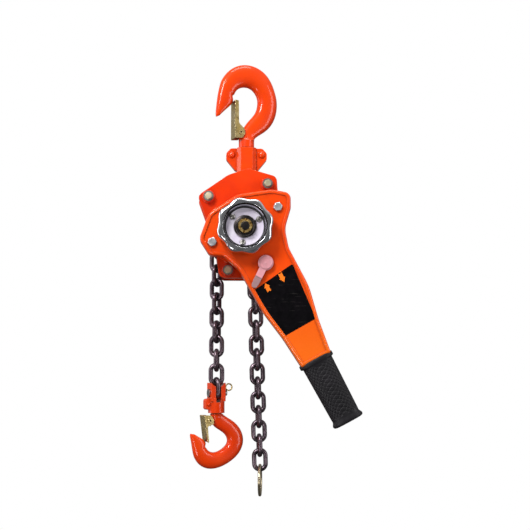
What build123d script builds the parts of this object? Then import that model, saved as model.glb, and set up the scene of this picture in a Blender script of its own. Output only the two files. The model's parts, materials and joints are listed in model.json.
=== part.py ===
from build123d import *
import os
from math import acos, atan2, cos, degrees, hypot, pi, radians, sin, sqrt, tan

# Lever chain hoist, 0.75 t class, with a 6 x 18 mm load chain. Millimetres.
# The frame: +Z up, +X to the right, -Y to the front, where the handwheel and the lever are.
# The origin is the saddle of the top hook, where the sling or beam clamp carries the hoist.
# The hoist hangs unloaded, so its body leans clockwise and the chain guides push both strands left.

# ---- driving sizes ----------------------------------------------------------------------------
AXIS_X = -4.4                 # drive axis, along Y, seen from the hook's centre line
AXIS_Z = -193.0
LEVER_ANGLE = -61.9           # direction of the lever in the XZ plane at rest
LEVER_LENGTH = 269.0          # drive axis to the end of the grip
LOAD_X = -37.6                # centre line of the hanging load strand
TAIL_X = 10.0                 # centre line of the free strand where it leaves the body
TAIL_LEAN = 1.75              # the free strand leans right by this angle

CHAIN_D = 6.0                 # nominal diameter of the load chain
CHAIN_PITCH = 18.0            # inside length of one link
WIRE_R = 2.9                  # the links' wire, a little thin so that they never share material
LINK_BEND_R = 7.2             # centre line of a link's rounded ends
POCKETS = 4

PLATE_T = 4.0                 # side plates
PLATE_IN = 16.0               # inner face of each side plate, from the chain's plane
PLATE_OUT = PLATE_IN + PLATE_T
RUN = 0.3                     # gap between faces of different bodies that pass each other
FIT = 0.05                    # radial gap of a running fit

MODULE = 1.25
LOAD_TEETH = 32               # gear on the load sheave
SMALL_TEETH = 16              # small wheel of each intermediate gear
LARGE_TEETH = 36              # large wheel of each intermediate gear
SHAFT_TEETH = 12              # pinion on the drive shaft
CENTRES = MODULE * (LOAD_TEETH + SMALL_TEETH) / 2
GEAR_LINE = 105.0             # direction of the first intermediate gear from the drive axis
CHANGE_TEETH = 12
RATCHET_TEETH = 18

HOOK_YAW = 16.0               # the top hook is turned this much, anticlockwise from above
YOKE_YAW = 20.0               # the bottom yoke and hook are turned this much
SHANK_R = 10.0
PIN_TOP = (0.5, -127.0)       # suspension pin, in the XZ plane
STAYS = [(-48.8, -148.0), (25.9, -131.4), (-24.0, -241.6)]
STAY_R = 4.0

os.makedirs("parts", exist_ok=True)


# ---- small helpers ----------------------------------------------------------------------------
def rod(x, z, r, y0, y1):
    """A round bar along Y between y0 and y1."""
    return Pos(x, (y0 + y1) / 2, z) * Rot(90, 0, 0) * Cylinder(r, abs(y1 - y0))


def post(x, y, r, z0, z1):
    """A round bar along Z between z0 and z1."""
    return Pos(x, y, (z0 + z1) / 2) * Cylinder(r, abs(z1 - z0))


def block(x0, x1, y0, y1, z0, z1):
    middle = Pos((x0 + x1) / 2, (y0 + y1) / 2, (z0 + z1) / 2)
    return middle * Box(abs(x1 - x0), abs(y1 - y0), abs(z1 - z0))


def slab(face, y0, y1):
    """A flat face drawn in XZ, made solid between y0 and y1."""
    back = max(y0, y1)
    return extrude(Plane.XZ.offset(-back) * face, amount=abs(y1 - y0))


def rounded(points, radius):
    """A closed outline with rounded corners; radius is one value or one for each corner."""
    return make_face(FilletPolyline(*points, radius=radius, close=True))


def turned(profile, x=AXIS_X, z=AXIS_Z):
    """A body turned about an axis along Y through (x, z), from a profile of (radius, y) points."""
    face = make_face(Polyline(*[(r, y, 0) for r, y in profile], close=True))
    return Pos(x, 0, z) * revolve(face, Axis.Y)


def hexagon(x, z, across_flats, y0, y1, turn=0.0):
    face = Pos(x, z) * Rot(0, 0, turn) * RegularPolygon(across_flats / sqrt(3), 6)
    return slab(face, y0, y1)


def polar(angle, radius, x=AXIS_X, z=AXIS_Z):
    return x + radius * cos(radians(angle)), z + radius * sin(radians(angle))


def ring(x, z, r_in, r_out, y0, y1):
    return rod(x, z, r_out, y0, y1) - rod(x, z, r_in, min(y0, y1) - 1, max(y0, y1) + 1)


def save(name, *solids):
    """One node: one STEP file with its separate solids."""
    pieces = []
    for solid in solids:
        pieces += list(solid.solids())
    export_step(Compound(children=pieces) if len(pieces) > 1 else pieces[0], f"parts/{name}.step")


# ---- gear teeth -------------------------------------------------------------------------------
def involute(angle):
    return tan(angle) - angle


def gear_face(teeth, phase, backlash=0.16):
    """Involute stub teeth at 20 degrees; a tooth's middle points at the angle phase, in degrees."""
    pitch_r = MODULE * teeth / 2
    base_r = pitch_r * cos(radians(20))
    tip_r = pitch_r + 0.8 * MODULE
    root_r = pitch_r - 1.0 * MODULE
    start_r = max(base_r, root_r) + 0.02
    half_tooth = pi / (2 * teeth) - backlash / pitch_r + involute(radians(20))
    radii = (start_r, (start_r + tip_r) / 2, tip_r)
    spread = [half_tooth - involute(acos(base_r / r)) for r in radii]
    edges = []
    corners = []
    for k in range(teeth):
        middle = radians(phase) + 2 * pi * k / teeth
        for side in (-1, 1):
            flank = [(r * cos(middle + side * a), r * sin(middle + side * a)) for r, a in zip(radii, spread)]
            foot = (root_r * cos(middle + side * spread[0]), root_r * sin(middle + side * spread[0]))
            if side == 1:
                flank.reverse()
                edges.append(Line(corners[-1], flank[0]))
            elif corners:
                edges.append(Line(corners[-1], foot))
            if side == -1:
                first = foot if not corners else first
                edges.append(Line(foot, flank[0]))
            edges.append(ThreePointArc(*flank))
            if side == 1:
                edges.append(Line(flank[-1], foot))
            corners.append(foot if side == 1 else flank[-1])
    edges.append(Line(corners[-1], first))
    return make_face(Wire(edges))


def gear(teeth, phase, x, z, y0, y1, bore_r):
    wheel = slab(Pos(x, z) * gear_face(teeth, phase), y0, y1)
    return wheel - rod(x, z, bore_r, y0 - 1, y1 + 1)


def mate_phase(phase, teeth, direction, mate_teeth):
    """Tooth angle of a gear that lies in this direction and meshes with a gear of known phase."""
    step = 360 / teeth
    offset = phase + step * round((direction - phase) / step) - direction
    return direction + 180 + 180 / mate_teeth - offset * teeth / mate_teeth


# ---- chain ------------------------------------------------------------------------------------
def link():
    """One welded link, standing along Z with its flat side facing Y, centred on the origin."""
    half = CHAIN_PITCH / 2 + CHAIN_D / 2 - LINK_BEND_R
    side = Pos(LINK_BEND_R, 0, 0) * Cylinder(WIRE_R, 2 * half)
    bend = Rot(90, 0, 0) * revolve(
        Pos(LINK_BEND_R, 0) * Plane.XZ * Circle(WIRE_R), Axis.Z, 180)
    top = Pos(0, 0, half) * bend
    bottom = Pos(0, 0, -half) * Rot(0, 180, 0) * bend
    return top + bottom + side + mirror(side, Plane.YZ)


LINK = link()


def link_between(low, high, twist):
    """A link whose neighbours' wires are at low and high, in XZ; twist turns it about its length."""
    lean = degrees(atan2(high[0] - low[0], high[1] - low[1]))
    middle = ((low[0] + high[0]) / 2, (low[1] + high[1]) / 2)
    return Pos(middle[0], 0, middle[1]) * Rot(0, lean, 0) * Rot(0, 0, twist) * LINK


WRAP_R = 0.5 * sqrt((CHAIN_PITCH / sin(pi / (2 * POCKETS))) ** 2 + (CHAIN_D / cos(pi / (2 * POCKETS))) ** 2)
FLAT_CHORD = CHAIN_PITCH + CHAIN_D
STANDING_CHORD = CHAIN_PITCH - CHAIN_D
LOAD_END = (LOAD_X, -402.2)                 # lower end of the last link, which the yoke's pin holds
LOAD_BEND = (LOAD_X, AXIS_Z - 29.0)         # where the load strand leaves its guide
TAIL_BEND = (TAIL_X, AXIS_Z - 37.0)


def tangent_angle(point, side):
    """Where a line from the point touches the wrap circle; side 1 is the right of the sheave."""
    dx, dz = point[0] - AXIS_X, point[1] - AXIS_Z
    return degrees(atan2(dz, dx)) + side * degrees(acos(WRAP_R / hypot(dx, dz)))


LEFT_TOUCH = tangent_angle(LOAD_BEND, -1) % 360
RIGHT_TOUCH = tangent_angle(TAIL_BEND, 1)
UP_1 = LOAD_BEND[1] - LOAD_END[1]
UP_2 = UP_1 + sqrt(hypot(LOAD_BEND[0] - AXIS_X, LOAD_BEND[1] - AXIS_Z) ** 2 - WRAP_R ** 2)
OVER = UP_2 + WRAP_R * radians(LEFT_TOUCH - RIGHT_TOUCH)
DOWN_1 = OVER + sqrt(hypot(TAIL_BEND[0] - AXIS_X, TAIL_BEND[1] - AXIS_Z) ** 2 - WRAP_R ** 2)


def along(a, b, share):
    return a[0] + (b[0] - a[0]) * share, a[1] + (b[1] - a[1]) * share


def chain_point(s):
    """The point at the length s along the chain's path, from the load end up, over and down."""
    if s < UP_1:
        return LOAD_X, LOAD_END[1] + s
    if s < UP_2:
        return along(LOAD_BEND, polar(LEFT_TOUCH, WRAP_R), (s - UP_1) / (UP_2 - UP_1))
    if s < OVER:
        return polar(LEFT_TOUCH - degrees((s - UP_2) / WRAP_R), WRAP_R)
    if s < DOWN_1:
        return along(polar(RIGHT_TOUCH, WRAP_R), TAIL_BEND, (s - OVER) / (DOWN_1 - OVER))
    run = s - DOWN_1
    return TAIL_BEND[0] + run * sin(radians(TAIL_LEAN)), TAIL_BEND[1] - run * cos(radians(TAIL_LEAN))


def chain_joints(count):
    """The wires' places along the path, one for each end of every link."""
    places = [0.0]
    for k in range(count):
        chord = STANDING_CHORD if k % 2 else FLAT_CHORD
        start = chain_point(places[-1])
        low, high = places[-1] + chord * 0.9, places[-1] + chord * 1.6
        for _ in range(40):
            middle = (low + high) / 2
            point = chain_point(middle)
            if hypot(point[0] - start[0], point[1] - start[1]) < chord:
                low = middle
            else:
                high = middle
        places.append(low)
    return [chain_point(s) for s in places]


LOAD_LINKS = 8                # links of the load strand below the ones that run over the sheave
WRAP_LINKS = 9
TAIL_LINKS = 15
JOINTS = chain_joints(LOAD_LINKS + WRAP_LINKS + TAIL_LINKS)


def twist_of(k):
    """How far link k is turned about its length; flat links have a further quarter turn."""
    if k < 3:
        own = (YOKE_YAW, 7.0, -7.0)[k]
    elif k < LOAD_LINKS:
        own = -20.0 - 2.5 * (k - 3)
    elif k < LOAD_LINKS + 3:
        own = (-30.0, -25.0, -16.0)[k - LOAD_LINKS]
    elif k < LOAD_LINKS + 8:
        own = 0.0
    else:
        own = max(-17.0, -6.0 * (k - LOAD_LINKS - 8)) + max(0.0, 0.9 * (k - LOAD_LINKS - WRAP_LINKS))
    return own if k % 2 else own + 90


def chain(first, last):
    return [link_between(JOINTS[k], JOINTS[k + 1], twist_of(k)) for k in range(first, last)]


# ---- hooks ------------------------------------------------------------------------------------
# Each row: the inner point, the outer point and the thickness of one cross-section, in the hook's plane.
TOP_HOOK = [
    ((-9.8, -71.0), (9.8, -71.0), 19.4),
    ((-8.8, -64.0), (11.5, -67.0), 15.0),
    ((-4.5, -55.0), (18.5, -61.5), 14.4),
    ((1.5, -46.0), (28.0, -54.5), 15.5),
    ((9.5, -36.5), (36.5, -43.0), 16.5),
    ((14.3, -26.5), (40.8, -28.5), 17.0),
    ((15.3, -17.0), (40.6, -13.0), 17.0),
    ((12.0, -7.5), (35.0, 5.0), 17.2),
    ((5.8, -1.7), (22.5, 21.8), 17.5),
    ((-1.5, 0.0), (3.0, 29.5), 17.5),
    ((-8.5, -1.4), (-14.5, 26.6), 17.0),
    ((-14.0, -5.4), (-27.5, 16.5), 16.0),
    ((-17.2, -11.0), (-34.8, 4.5), 14.5),
    ((-18.7, -17.3), (-38.4, -10.5), 13.0),
    ((-20.2, -23.2), (-40.2, -22.5), 11.5),
    ((-26.2, -29.4), (-41.2, -31.6), 9.5),
    ((-32.5, -35.4), (-41.6, -38.2), 7.0),
    ((-36.5, -39.6), (-41.2, -41.6), 4.2),
]
BOTTOM_HOOK = [
    ((-7.5, 48.0), (7.5, 48.0), 15.0),
    ((-7.2, 42.0), (11.5, 45.0), 13.6),
    ((-2.3, 32.0), (21.5, 39.0), 13.6),
    ((7.9, 25.2), (30.3, 30.6), 14.6),
    ((13.8, 19.2), (35.0, 21.0), 15.0),
    ((15.0, 12.8), (35.4, 10.0), 15.0),
    ((10.6, 6.2), (28.4, -3.6), 15.2),
    ((3.2, 1.5), (13.6, -14.8), 15.5),
    ((-4.5, 0.0), (-5.0, -20.5), 15.5),
    ((-10.2, 1.8), (-19.2, -17.0), 14.5),
    ((-13.5, 5.4), (-27.6, -8.0), 13.4),
    ((-14.6, 10.0), (-31.4, 3.4), 12.0),
    ((-15.8, 14.4), (-33.3, 13.8), 10.5),
    ((-22.5, 19.0), (-34.6, 20.0), 8.0),
    ((-29.0, 22.8), (-34.6, 23.6), 4.6),
]
TOP_TIP = 12                  # the section at which the point begins
BOTTOM_TIP = 10
SQUARENESS = 2.5              # 2 would make the cross-sections ellipses


def section_wire(inner, outer, thick):
    """A rounded, slightly squared cross-section between two points of the hook's plane."""
    points = []
    for k in range(16):
        turn = 2 * pi * k / 16
        c, s = cos(turn), sin(turn)
        across = 0.5 + 0.5 * abs(c) ** (2 / SQUARENESS) * (1 if c > 0 else -1)
        deep = 0.5 * thick * abs(s) ** (2 / SQUARENESS) * (1 if s > 0 else -1)
        x, z = along(inner, outer, across)
        points.append((x, deep, z))
    return Wire([Spline(*points, periodic=True)])


def forged_hook(rows, tip):
    """Two lofts: the bow, and from section number tip on, the tapering point."""
    wires = [section_wire(*row) for row in rows]
    return Solid.make_loft(wires[:tip + 1]) + Solid.make_loft(wires[tip:])


def pivot_lug(pivot, half_width, reach):
    """The lug beside the hook's neck that carries the latch pin."""
    x, z = pivot
    outline = rounded([(x - reach, z - 5), (x - reach, z + 5), (x + 9, z + 5), (x + 9, z - 5)], 2.5)
    return slab(outline, -half_width, half_width)


def latch(outline, web, pivot, pin_r):
    """A pressed channel: two ears and the web that closes the throat."""
    ears = slab(outline, -9.0, -7.6) + slab(outline, 7.6, 9.0)
    strip = slab(make_face(Polyline(*web, close=True)), -9.0, 9.0)
    return ears + strip - rod(pivot[0], pivot[1], pin_r, -10, 10)


def latch_spring(pivot, up):
    """A torsion spring on the pin, with one leg on the latch's web and one on the hook."""
    x, z = pivot
    coil = Pos(x, -4.1, z) * Rot(90, 0, 0) * Helix(1.15, 2.9, 3.1)
    body = sweep(Plane(coil @ 0, z_dir=coil % 0) * Circle(0.5), path=coil)
    return body + Pos(x + 2.4, -4.15, z + up * 3.5) * Cylinder(0.5, 7)


def place_top(shape):
    return Rot(0, 0, HOOK_YAW) * shape


BOTTOM_SADDLE_Z = -469.6
LOAD_PIN_Z = LOAD_END[1] + CHAIN_D + 0.6


def place_bottom(shape):
    return Pos(LOAD_X, 0, 0) * Rot(0, 0, YOKE_YAW) * shape


TOP_PIVOT = (-10.0, -61.5)
BOTTOM_PIVOT = (-11.5, BOTTOM_SADDLE_Z + 39.5)
LATCH_PIN_R = 2.0


def top_hook():
    body = forged_hook(TOP_HOOK, TOP_TIP)
    flat = block(-30, -1, 7.3, 15, -68.6, -40)
    body = body - flat - mirror(flat, Plane.XZ)
    body += post(0, 0, SHANK_R, -80.3, -70.5)
    body += post(0, 0, 6.0, -90.0, -80.0) + post(0, 0, 8.6, -96.4, -90.0)
    body += pivot_lug(TOP_PIVOT, 3.5, 4.5)
    return place_top(body - rod(*TOP_PIVOT, LATCH_PIN_R, -5, 5))


def bottom_hook():
    body = Pos(0, 0, BOTTOM_SADDLE_Z) * forged_hook(BOTTOM_HOOK, BOTTOM_TIP)
    flat = block(-30, -1, 7.3, 15, BOTTOM_SADDLE_Z + 30, BOTTOM_SADDLE_Z + 47.5)
    body = body - flat - mirror(flat, Plane.XZ)
    body += post(0, 0, 7.0, BOTTOM_SADDLE_Z + 43, -421.0)
    body += post(0, 0, 6.0, -424.0, -414.0) + post(0, 0, 8.2, -414.6, -409.6)
    body += pivot_lug(BOTTOM_PIVOT, 3.5, 3.2)
    return place_bottom(body - rod(*BOTTOM_PIVOT, LATCH_PIN_R, -5, 5))


def top_latch():
    outline = rounded([(-18.3, -69.4), (-8.0, -68.6), (-4.6, -62.0), (-5.5, -56.5), (-12.8, -49.5),
                       (-13.2, -20.5), (-16.0, -19.4), (-18.3, -19.6)],
                      [0.8, 4, 3, 3, 6, 1.0, 0.5, 0.4])
    web = [(-18.3, -69.0), (-16.9, -69.0), (-16.9, -20.0), (-18.3, -20.0)]
    return place_top(latch(outline, web, TOP_PIVOT, LATCH_PIN_R + FIT))


def bottom_latch():
    z = BOTTOM_SADDLE_Z
    outline = rounded([(-19.0, z + 46.5), (-10.0, z + 46.2), (-6.3, z + 40.5), (-7.0, z + 35.0),
                       (-14.4, z + 32.5), (-12.6, z + 13.4), (-13.4, z + 12.0), (-14.7, z + 13.4)],
                      [0.8, 4, 3, 2, 2, 0.3, 0.3, 0.3])
    web = [(-19.0, z + 46.0), (-17.6, z + 46.0), (-13.2, z + 13.4), (-14.6, z + 13.4)]
    return place_bottom(latch(outline, web, BOTTOM_PIVOT, LATCH_PIN_R + FIT))


def latch_pin(pivot):
    """A hollow rivet through the latch's ears and the lug."""
    x, z = pivot
    heads = rod(x, z, 3.0, -10.2, -9.0) + rod(x, z, 3.0, 9.0, 10.2)
    return rod(x, z, LATCH_PIN_R, -10.2, 10.2) + heads - rod(x, z, 1.1, -11, -8) - rod(x, z, 1.1, 8, 11)


save("top_hook", top_hook())
save("top_latch", top_latch())
save("top_latch_pin", place_top(latch_pin(TOP_PIVOT)))
save("top_latch_spring", place_top(latch_spring(TOP_PIVOT, 1)))
save("bottom_hook", bottom_hook())
save("bottom_latch", bottom_latch())
save("bottom_latch_pin", place_bottom(latch_pin(BOTTOM_PIVOT)))
save("bottom_latch_spring", place_bottom(latch_spring(BOTTOM_PIVOT, -1)))


# ---- top yoke ---------------------------------------------------------------------------------
RIVET_X = 19.3
RIVET_Z = -89.8
YOKE_BOTTOM = PIN_TOP[1] - 12.0


def top_yoke_half(side):
    """Half of the yoke; side -1 is the front half. Both clasp the hook's button head."""
    column = Polyline((12.3, 0), (12.3, 7.5), (7.5, 13.0), (-7.5, 13.0), (-12.3, 7.5), (-12.3, 0), close=True)
    body = Pos(0, 0, YOKE_BOTTOM) * extrude(make_face(column), amount=-81.2 - YOKE_BOTTOM)
    wing = [(-26.2, -88.0), (-20.5, -81.6), (20.5, -81.6), (26.2, -88.0), (26.2, -96.0),
            (14.6, -110.5), (-14.6, -110.5), (-26.2, -96.0)]
    body += slab(rounded(wing, [5, 5, 5, 5, 5, 3, 3, 5]), 0, 5.0)
    body -= post(0, 0, 6.3, -90.5, -80) + post(0, 0, 9.0, -97.2, -89.4)
    body -= rod(*PIN_TOP, 6.5 + FIT, -1, 14)
    for x in (-RIVET_X, RIVET_X):
        body -= rod(x, RIVET_Z, 3.0, -1, 6)
    return body if side > 0 else mirror(body, Plane.XZ)


def button_rivet(x, z, half_grip, shank_r, head_r):
    """A rivet with a domed head at each end, along Y."""
    dome = Sphere(head_r * 1.12) & Pos(0, -head_r, 0) * Box(4 * head_r, 2 * head_r * 0.75, 4 * head_r)
    sunk = Pos(x, -half_grip + 0.25 * head_r, z) * dome
    sunk = sunk & block(x - 20, x + 20, -half_grip - 20, -half_grip, z - 20, z + 20)
    return rod(x, z, shank_r, -half_grip, half_grip) + sunk + mirror(sunk, Plane.XZ)


save("top_yoke_front", top_yoke_half(-1))
save("top_yoke_rear", top_yoke_half(1))
save("top_yoke_rivets", *[button_rivet(x, RIVET_Z, 5.0, 3.0, 4.4) for x in (-RIVET_X, RIVET_X)])


# ---- body: plates, covers and stays -----------------------------------------------------------
BODY = [(-62.5, -146.5), (-50.0, -181.0), (-38.5, -222.0), (-35.0, -251.2), (12.0, -251.2),
        (36.0, -226.0), (43.0, -186.0), (40.0, -152.0), (37.8, -121.2), (1.3, -110.8), (-24.0, -119.5)]
BODY_R = [7, 30, 20, 9, 10, 15, 30, 30, 8, 10, 30]
DRUM_R = 41.0
COVER_T = 2.5
COVER_FACE = -42.0
HUB_R = 15.0
GEAR_A = polar(GEAR_LINE, CENTRES)
GEAR_B = polar(GEAR_LINE + 180, CENTRES)
CASE_END = 56.0
CASE_T = 2.5
CASE_SCREWS = [polar(GEAR_LINE + turn, 36.5) for turn in (62, 118, 242, 298)]
BEARING_R = 17.0
JOURNAL_R = 12.5
ARBOR_R = 4.0
STRIPPER_PINS = [(AXIS_X - 12.0, AXIS_Z - 38.0), (AXIS_X - 1.5, AXIS_Z - 43.0)]
GUIDE_PINS = [(31.0, -222.0), (31.0, -236.0)]
PAWL_PIVOTS = [polar(angle, 32.0) for angle in (28, 208)]


def side_plate(side):
    y0, y1 = sorted((side * PLATE_IN, side * PLATE_OUT))
    body = slab(rounded(BODY, BODY_R), y0, y1)
    body -= rod(AXIS_X, AXIS_Z, BEARING_R, y0 - 1, y1 + 1)
    body -= rod(*PIN_TOP, 6.5, y0 - 1, y1 + 1)
    for x, z in STAYS:
        body -= rod(x, z, STAY_R, y0 - 1, y1 + 1)
    for x, z in STRIPPER_PINS + GUIDE_PINS:
        body -= rod(x, z, 2.5, y0 - 1, y1 + 1)
    if side < 0:
        for x, z in PAWL_PIVOTS:
            body -= rod(x, z, 2.5, y0 - 1, y1 + 1)
    else:
        for x, z in (GEAR_A, GEAR_B):
            body -= rod(x, z, ARBOR_R + FIT, y0 - 1, y1 + 1)
        for x, z in CASE_SCREWS:
            body -= rod(x, z, 2.0, y0 - 1, y1 + 1)
    return body


def brake_cover():
    """A pressed cover: a flange over the whole plate and a drum round the brake."""
    y = -PLATE_OUT
    flange = slab(rounded(BODY, BODY_R), y, y - COVER_T)
    drum = turned([(0, y), (DRUM_R + 4, y), (DRUM_R + 1, y - 6), (DRUM_R, COVER_FACE + 5),
                   (DRUM_R - 4.5, COVER_FACE), (0, COVER_FACE)])
    inside = turned([(0, y + 1), (DRUM_R - COVER_T, y + 1), (DRUM_R - COVER_T, COVER_FACE + 6.5),
                     (DRUM_R - 6.0, COVER_FACE + COVER_T), (0, COVER_FACE + COVER_T)])
    body = flange + drum - inside - rod(AXIS_X, AXIS_Z, HUB_R + 2, COVER_FACE - 1, y)
    for x, z in STAYS:
        body -= rod(x, z, STAY_R, y + 1, y - COVER_T - 1)
    return body


def gear_case():
    """A deep oblong cup over the two gear stages, screwed to the rear plate."""
    outer = Pos(AXIS_X, AXIS_Z) * Rot(0, 0, GEAR_LINE) * SlotCenterToCenter(2 * CENTRES, 54)
    inner = Pos(AXIS_X, AXIS_Z) * Rot(0, 0, GEAR_LINE) * SlotCenterToCenter(2 * CENTRES, 54 - 2 * CASE_T)
    body = slab(outer, PLATE_OUT, CASE_END)
    body = fillet(body.edges().group_by(Axis.Y)[-1], 4.0)
    for x, z in CASE_SCREWS:
        body += rod(x, z, 5.5, PLATE_OUT, PLATE_OUT + 3)
    body -= slab(inner, PLATE_OUT - 1, CASE_END - CASE_T)
    for x, z in (GEAR_A, GEAR_B, (AXIS_X, AXIS_Z)):
        body += rod(x, z, 8.0, CASE_END - 8.0, CASE_END - 1)
        body -= rod(x, z, ARBOR_R + FIT, PLATE_OUT - 1, CASE_END - 2.0)
    for x, z in CASE_SCREWS:
        body -= rod(x, z, 2.0, PLATE_OUT - 1, PLATE_OUT + 4)
    return body


def stay_bolt(x, z, shoulder):
    body = rod(x, z, STAY_R, -PLATE_OUT - 13.5, PLATE_OUT + 10)
    return body + rod(x, z, shoulder, -PLATE_IN, PLATE_IN) if shoulder > STAY_R else body


def stay_nuts():
    """Washer and hexagon nut at each end of each stay bolt."""
    made = []
    for k, (x, z) in enumerate(STAYS):
        front = -PLATE_OUT - COVER_T
        bore = rod(x, z, STAY_R, -60, 60)
        made.append(rod(x, z, 8.2, front - 1.4, front) - bore)
        nut = hexagon(x, z, 13.0, front - 1.4, front - 7.9, 11 + 23 * k)
        nut = nut & turned([(0, front), (9.2, front), (9.2, front - 5.5), (6.6, front - 7.9), (0, front - 7.9)], x, z)
        made.append(nut - bore)
        made.append(hexagon(x, z, 13.0, PLATE_OUT, PLATE_OUT + 6.5, 7 + 31 * k) - bore)
    return made


def bush(side):
    y0, y1 = sorted((side * PLATE_IN, side * PLATE_OUT))
    return ring(AXIS_X, AXIS_Z, JOURNAL_R + FIT, BEARING_R, y0, y1)


def suspension_pin():
    """A headed pin, kept in by the brake cover over its plain end."""
    return rod(*PIN_TOP, 6.5, -PLATE_OUT, PLATE_OUT) + rod(*PIN_TOP, 7.8, PLATE_OUT, PLATE_OUT + 3.0)


def chain_stripper():
    """The nose between the strands that lifts the links out of the sheave's groove."""
    nose = [polar(angle, 13.6) for angle in (238, 254, 270, 286, 302)]
    rest = [(AXIS_X + 3.6, AXIS_Z - 21.0), (AXIS_X + 3.6, AXIS_Z - 47.0), (AXIS_X - 14.5, AXIS_Z - 47.0),
            (AXIS_X - 21.5, AXIS_Z - 36.0), (AXIS_X - 20.5, AXIS_Z - 27.0)]
    face = make_face(Polyline(*nose, *rest, close=True))
    body = slab(face, -3.0, 3.0)
    for x, z in STRIPPER_PINS:
        body -= rod(x, z, 2.5, -4, 4)
    return body


def chain_guide():
    """The block on the outer side of the free strand."""
    face = rounded([(25.6, -212.0), (36.0, -212.0), (36.0, -241.0), (25.6, -241.0), (23.6, -226.0)],
                   [2, 3, 3, 3, 6])
    body = slab(face, -PLATE_IN, PLATE_IN)
    for x, z in GUIDE_PINS:
        body -= rod(x, z, 2.5, -20, 20)
    return body


save("front_side_plate", side_plate(-1))
save("rear_side_plate", side_plate(1))
save("brake_cover", brake_cover())
save("gear_case", gear_case())
save("gear_case_screws", *[rod(x, z, 2.0, PLATE_OUT - 3, PLATE_OUT + 3) + rod(x, z, 3.8, PLATE_OUT + 3, PLATE_OUT + 6)
                           for x, z in CASE_SCREWS])
save("stay_bolts", *[stay_bolt(x, z, 6.5 if k < 2 else STAY_R) for k, (x, z) in enumerate(STAYS)])
save("stay_nuts", *stay_nuts())
save("sheave_bushes", bush(-1), bush(1))
save("suspension_pin", suspension_pin())
save("chain_stripper", chain_stripper())
save("chain_guide", chain_guide())
save("guide_pins", *[rod(x, z, 2.5, -PLATE_OUT, PLATE_OUT) for x, z in STRIPPER_PINS + GUIDE_PINS])


# ---- load sheave and gears --------------------------------------------------------------------
SHEAVE_R = 25.2
SHEAVE_HALF = PLATE_IN - RUN
SHAFT_R = 8.0
SHEAVE_BORE_R = SHAFT_R + FIT
POCKET_FLOOR = 17.2
GROOVE_FLOOR = 12.5
wrapped = [degrees(atan2(z - AXIS_Z, x - AXIS_X)) for x, z in JOINTS[13:15]]
POCKET_PHASE = (wrapped[0] + wrapped[1]) / 2 - 45


def load_sheave():
    """The pocket wheel: flat links lie in four pockets, standing links run in the groove."""
    body = turned([(SHEAVE_BORE_R, -SHEAVE_HALF), (SHEAVE_R, -SHEAVE_HALF), (SHEAVE_R, SHEAVE_HALF),
                   (SHEAVE_BORE_R, SHEAVE_HALF)])
    body += ring(AXIS_X, AXIS_Z, SHEAVE_BORE_R, JOURNAL_R, -PLATE_OUT, 31.0)
    body -= ring(AXIS_X, AXIS_Z, GROOVE_FLOOR, SHEAVE_R + 5, -3.6, 3.6)
    pocket = extrude(SlotOverall(FLAT_CHORD + CHAIN_D + 1.4, 21.2), amount=SHEAVE_R)
    for k in range(POCKETS):
        turn = POCKET_PHASE + 90 * k
        body -= Pos(AXIS_X, 0, AXIS_Z) * Rot(0, -turn, 0) * Pos(POCKET_FLOOR, 0, 0) * Rot(0, 90, 0) \
            * pocket
    return body


LOAD_PHASE = 4.0
SMALL_PHASES = [mate_phase(LOAD_PHASE, LOAD_TEETH, GEAR_LINE + turn, SMALL_TEETH) for turn in (0, 180)]
SHAFT_PHASE = 10.0
LARGE_PHASES = [mate_phase(SHAFT_PHASE, SHAFT_TEETH, GEAR_LINE + turn, LARGE_TEETH) for turn in (0, 180)]


def intermediate_gear(place, small_phase, large_phase):
    """A small and a large wheel on one arbor."""
    x, z = place
    body = slab(Pos(x, z) * gear_face(SMALL_TEETH, small_phase), 22.0, 34.0)
    body += slab(Pos(x, z) * gear_face(LARGE_TEETH, large_phase), 34.0, 41.0)
    return body + rod(x, z, ARBOR_R, PLATE_IN + 0.5, CASE_END - 2.6) + rod(x, z, 6.5, 41.0, 47.4)


def drive_shaft():
    """Carries the pinion at the back, the brake in the middle and the handwheel's nut in front."""
    body = turned([(0, -88.5), (4.6, -88.5), (5.0, -88.0), (5.0, -67.0), (7.0, -67.0), (7.0, -21.0),
                   (SHAFT_R, -21.0), (SHAFT_R, 31.4), (5.4, 31.4), (5.4, 42.5), (ARBOR_R, 42.5),
                   (ARBOR_R, CASE_END - 2.6), (0, CASE_END - 2.6)])
    pinion = slab(Pos(AXIS_X, AXIS_Z) * gear_face(SHAFT_TEETH, SHAFT_PHASE), 33.0, 42.5)
    return body + pinion


save("load_sheave", load_sheave())
save("load_gear", gear(LOAD_TEETH, LOAD_PHASE, AXIS_X, AXIS_Z, 22.0, 30.5, JOURNAL_R))
save("intermediate_gear_upper", intermediate_gear(GEAR_A, SMALL_PHASES[0], LARGE_PHASES[0]))
save("intermediate_gear_lower", intermediate_gear(GEAR_B, SMALL_PHASES[1], LARGE_PHASES[1]))
save("drive_shaft", drive_shaft())


# ---- load brake -------------------------------------------------------------------------------
RATCHET_R = 25.0
RATCHET_ROOT = 21.8
RATCHET_Y = (-27.4, -31.4)
PAWL_LIFT = 0.4               # the pawls rest this far clear of the ratchet's tips


def ratchet_face():
    step = 360 / RATCHET_TEETH
    points = []
    for k in range(RATCHET_TEETH):
        points.append(polar(step * k, RATCHET_R, 0, 0))
        points.append(polar(step * k + 1.5, RATCHET_ROOT, 0, 0))
    return Rot(0, 0, RATCHET_PHASE) * make_face(Polyline(*points, close=True))


RATCHET_PHASE = 4.0


def ratchet_disc():
    body = slab(Pos(AXIS_X, AXIS_Z) * ratchet_face(), *RATCHET_Y)
    return body - rod(AXIS_X, AXIS_Z, 9.0, -20, -40)


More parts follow.
